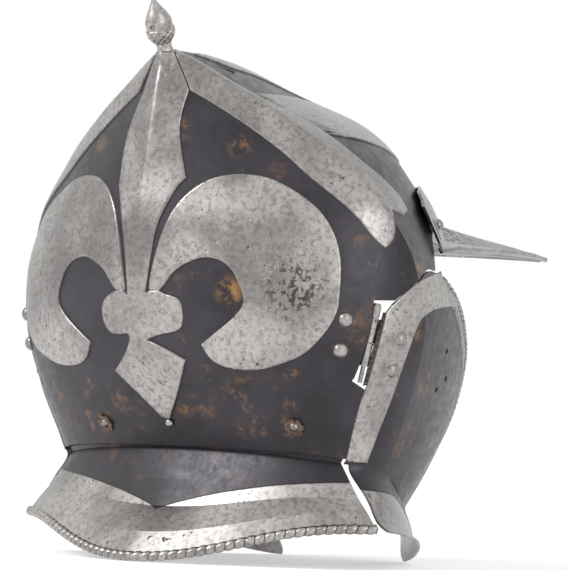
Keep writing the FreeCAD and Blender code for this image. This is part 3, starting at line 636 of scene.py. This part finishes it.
def two_toned(name, across, pairs):
    """Steel below and black above a level that changes along one axis of the part."""
    n = Nodes(name)
    white, white_rough, white_height = steel_layers(n)
    black, black_rough, _ = black_layers(n, mirrored(stained(RUST_SPOTS)))
    place = n.math("ABSOLUTE", n.axis(0)) if across else n.axis(1)
    above = n.math("SUBTRACT", n.axis(2), n.level_curve(place, pairs))
    share = n.band(above, -0.0002, 0.0002)
    color = n.mix(share, white, black)
    # Painted shade: a thin dark line along the boundary between steel and black, where the bend between them
    # lies in shade
    crease_shade = n.band(n.math("ABSOLUTE", above), 0.0001, 0.0007, 0.75, 0.0)
    color = n.mix(crease_shade, color, (0.02, 0.016, 0.015))
    rest = n.math("SUBTRACT", 1.0, share)
    rough = n.math("ADD", n.math("MULTIPLY", white_rough, rest), n.math("MULTIPLY", black_rough, share))
    n.bump(n.math("SUBTRACT", n.math("MULTIPLY", white_height, 0.6), n.math("MULTIPLY", share, 0.6)), 0.0005)
    return n.surface(color, rough, n.math("SUBTRACT", 1.0, n.math("MULTIPLY", share, 0.65)))


def guard_finish():
    line = [(0, 0, -104.5), (12, 0, -100.6), (42, 0, -93.9), (70, 5, -90.3), (105, 24, -89.1)]
    return two_toned("neck_guard_finish", True, [(side / 1000, at(0, f, z).z) for side, f, z in line])


def cheek_finish():
    line = [(140, -121), (100, -112), (60, -97), (30, -93)]
    return two_toned("cheek_finish", False, [(at(0, f, z).y, at(0, f, z).z) for f, z in line])


def rusty_iron():
    n = Nodes("rusty_iron")
    color = n.mix(n.band(n.noise(300.0, 5.0, 0.7), 0.4, 0.6), (0.05, 0.03, 0.022), (0.17, 0.12, 0.09))
    n.bump(n.noise(500.0, 4.0, 0.7), 0.0006)
    return n.surface(color, 0.6, 0.5)


def dress_frame(black, dark):
    """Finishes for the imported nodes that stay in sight."""
    cheek = cheek_finish()
    finishes = {"skull": black, "neck_guard": guard_finish(), "nape_rosettes": rusty_iron(),
                "peak": plain_steel("peak_steel", 0.25, [(0, 200, 25, 60)])}
    rivets = plain_steel("rivet_steel", 0.12)
    for name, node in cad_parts.items():
        other = cheek if name.startswith("cheekpiece") else dark if "washer" in name else rivets
        for slot in node.material_slots:
            slot.material = finishes.get(name, other)


def rim_path():
    points = []
    for k in range(-20, 21):
        side = abs(k) / 20 * RIM_END_SIDE
        share = min(side / RIM_RISE_SIDE, 1.0) ** 1.15
        forward = RIM_CORNER + 0.14 * side + 0.0033 * side * side + 0.5
        height = RIM_LOW + RIM_RISE * math.sin(math.pi / 2 * share) ** 2 - 0.3
        points.append(at(math.copysign(side, k), forward, height))
    return points


def add_ropes(steel):
    rope("neck_rope", rim_path(), ROPE_RADIUS / 1000, ROPE_PITCH / 1000, "helmet", steel)
    for hand, word in ((1, "right"), (-1, "left")):
        edge = [at(hand * s, f, z - 0.65) for s, f, z in PEAK_EDGE[1:-1]]
        rope("peak_rope_" + word, edge, PEAK_ROPE_RADIUS / 1000, 0.003, "peak", steel)
        line = []
        for forward, height in CHEEK_FRONT:
            point, normal = from_side(forward, height)
            line.append(at(hand * (point.x - 0.5 * normal.x), point.y - 0.3, point.z))
        rope("cheek_rope_" + word, line, 0.0017, 0.0034, "cheek_" + word, steel)


def shifted(points, distance):
    """Points of a line in side view moved behind it."""
    moved = []
    for i, (x, y) in enumerate(points):
        a, b = points[max(i - 1, 0)], points[min(i + 1, len(points) - 1)]
        dx, dy = b[0] - a[0], b[1] - a[1]
        size = math.hypot(dx, dy)
        moved.append((x + dy / size * distance, y - dx / size * distance))
    return moved


def add_cheek_lines(steel):
    """Polished fillets just behind the rope of each cheekpiece."""
    for name, near, far in (("cheek_fillet", 3.2, 6.6), ("cheek_inner_fillet", 7.6, 8.6)):
        outer, inner = shifted(CHEEK_FRONT, near), shifted(CHEEK_FRONT, far)
        outline = [outer[0] + (1,)] + outer[1:-1] + [outer[-1] + (1,)]
        outline += [inner[-1] + (1,)] + inner[-2:0:-1] + [inner[0] + (1,)]
        raised_plate(name, outline, from_side, 0.45, "cheek_right", steel, (1, -1), 1.2, 0.35)


def add_finial(steel):
    """The acorn with its scaled cup, turned about a leaning axis."""
    foot = Vector(FINIAL_FOOT)
    axis = Vector((0, -math.sin(FINIAL_LEAN), math.cos(FINIAL_LEAN)))
    first = Vector((1, 0, 0))
    second = axis.cross(first)
    rings, around = 151, 96
    verts = []
    for i in range(rings):
        along = FINIAL_LENGTH * i / (rings - 1)
        radius = smooth(FINIAL_PROFILE, along)
        cup = min(max((along - 5.0) / 1.5, 0), 1) * min(max((13.0 - along) / 0.4, 0), 1)
        for k in range(around):
            angle = 2 * math.pi * k / around
            scales = abs(math.sin(4.5 * angle + along)) * abs(math.sin(4.5 * angle - along))
            size = radius - 0.55 * cup * (1 - min(scales * 2.2, 1.0))
            place = foot + axis * along + (first * math.cos(angle) + second * math.sin(angle)) * size
            verts.append(at(*place))
    piece = add_mesh("acorn", verts, tube_faces(rings, around), "helmet", steel)
    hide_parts("acorn_finial")


def add_plates(white):
    raised_plate("back_lily", LILY_MIDDLE, seen, RAISED, "helmet", white)
    raised_plate("back_lily_lobe", LILY_LOBE, seen, RAISED * 0.97, "helmet", white, (1, -1))
    raised_plate("side_band", SIDE_BAND, seen, RAISED * 0.94, "helmet", white, (1, -1))
    raised_plate("front_lily", LILY_MIDDLE, on_front, RAISED * 0.9, "helmet", white, step=3.0)
    raised_plate("front_lily_lobe", LILY_LOBE, on_front, RAISED * 0.85, "helmet", white, (1, -1), 3.0)
    raised_plate("cheek_border", CHEEK_BORDER, on_cheek, BORDER_RAISED, "cheek_right", white, (1, -1))


def add_hinge_covers(black, dark):
    """The skull's edge beside the hinge, and a sunk dark strip behind the cheekpiece's edge, painted shade on
    the hinge leaf there.
    """
    raised_plate("hinge_cover", SKULL_BESIDE_HINGE, seen, 0.06, "helmet", black, (1, -1), 1.6, 0.5)
    # Painted shade: a dark strip sunk behind the cheekpiece's edge, where the gap beside the hinge lies in
    # shadow
    raised_plate("hinge_shade_strip", CHEEK_BESIDE_HINGE, seen, -1.3, "cheek_right", dark, (1, -1), 1.6, 0.5)


def add_stage():
    size = 30.0
    corners = [(-size, -size, 0), (size, -size, 0), (size, size, 0), (-size, size, 0)]
    mesh = bpy.data.meshes.new("floor")
    mesh.from_pydata(corners, [], [(0, 1, 2, 3)])
    floor = bpy.data.objects.new("floor", mesh)
    bpy.context.scene.collection.objects.link(floor)
    floor.location.z = -0.0004
    material = bpy.data.materials.new("pale_floor")
    material.use_nodes = True
    shader = material.node_tree.nodes["Principled BSDF"]
    shader.inputs["Base Color"].default_value = (0.93, 0.93, 0.93, 1)
    shader.inputs["Roughness"].default_value = 0.9
    shader.inputs["Emission Color"].default_value = (1, 1, 1, 1)
    shader.inputs["Emission Strength"].default_value = 0.45
    mesh.materials.append(material)


def add_world():
    """Grey light on the helmet; white for the background and in reflections."""
    world = bpy.data.worlds.new("studio")
    bpy.context.scene.world = world
    world.use_nodes = True
    tree = world.node_tree
    rays = tree.nodes.new("ShaderNodeLightPath")
    share = rays.outputs["Is Camera Ray"]
    for kind in ("Is Glossy Ray", "Is Transmission Ray"):
        either = tree.nodes.new("ShaderNodeMath")
        either.operation = "MAXIMUM"
        tree.links.new(share, either.inputs[0])
        tree.links.new(rays.outputs[kind], either.inputs[1])
        share = either.outputs[0]
    mix = tree.nodes.new("ShaderNodeMix")
    mix.data_type = "RGBA"
    mix.inputs[6].default_value = (0.55, 0.55, 0.56, 1)
    mix.inputs[7].default_value = (1, 1, 1, 1)
    tree.links.new(share, mix.inputs[0])
    tree.links.new(mix.outputs[2], tree.nodes["Background"].inputs["Color"])


def add_lamps():
    for name, place, power, size in (("key", (1.1, 1.6, 1.5), 26, 0.9), ("fill", (-1.6, 0.6, 0.6), 9, 1.2)):
        lamp = bpy.data.lights.new(name, "AREA")
        lamp.energy = power
        lamp.size = size
        holder = bpy.data.objects.new(name, lamp)
        bpy.context.scene.collection.objects.link(holder)
        holder.location = place
        aim = Vector((0, 0.05, 0.13)) - Vector(place)
        holder.rotation_euler = aim.to_track_quat("-Z", "Y").to_euler()


def add_camera():
    across, rise, ahead = view_axes()
    data = bpy.data.cameras.new("camera")
    data.sensor_width = 36.0
    data.lens = FOCAL / PICTURE * 36.0
    data.clip_start = 0.05
    data.clip_end = 100
    camera = bpy.data.objects.new("camera", data)
    bpy.context.scene.collection.objects.link(camera)
    matrix = Matrix.Identity(4)
    for k, column in enumerate((turned(across), turned(rise), -turned(ahead))):
        for row in range(3):
            matrix[row][k] = column[row]
    matrix.translation = at(*VIEW_PLACE)
    camera.matrix_world = matrix
    bpy.context.scene.camera = camera


bpy.context.scene.view_settings.view_transform = "Standard"
add_camera()
add_world()
add_lamps()
add_stage()
black = black_iron()
# Darkened steel for the washers, also used as painted shade for the strip beside the hinge
dark = plain_steel("dark_iron_and_shade", 0.8)
dress_frame(black, dark)
white = white_steel()
steel = plain_steel("plain_steel")
add_plates(white)
add_hinge_covers(black, dark)
add_cheek_lines(steel)
add_ropes(white)
add_finial(steel)
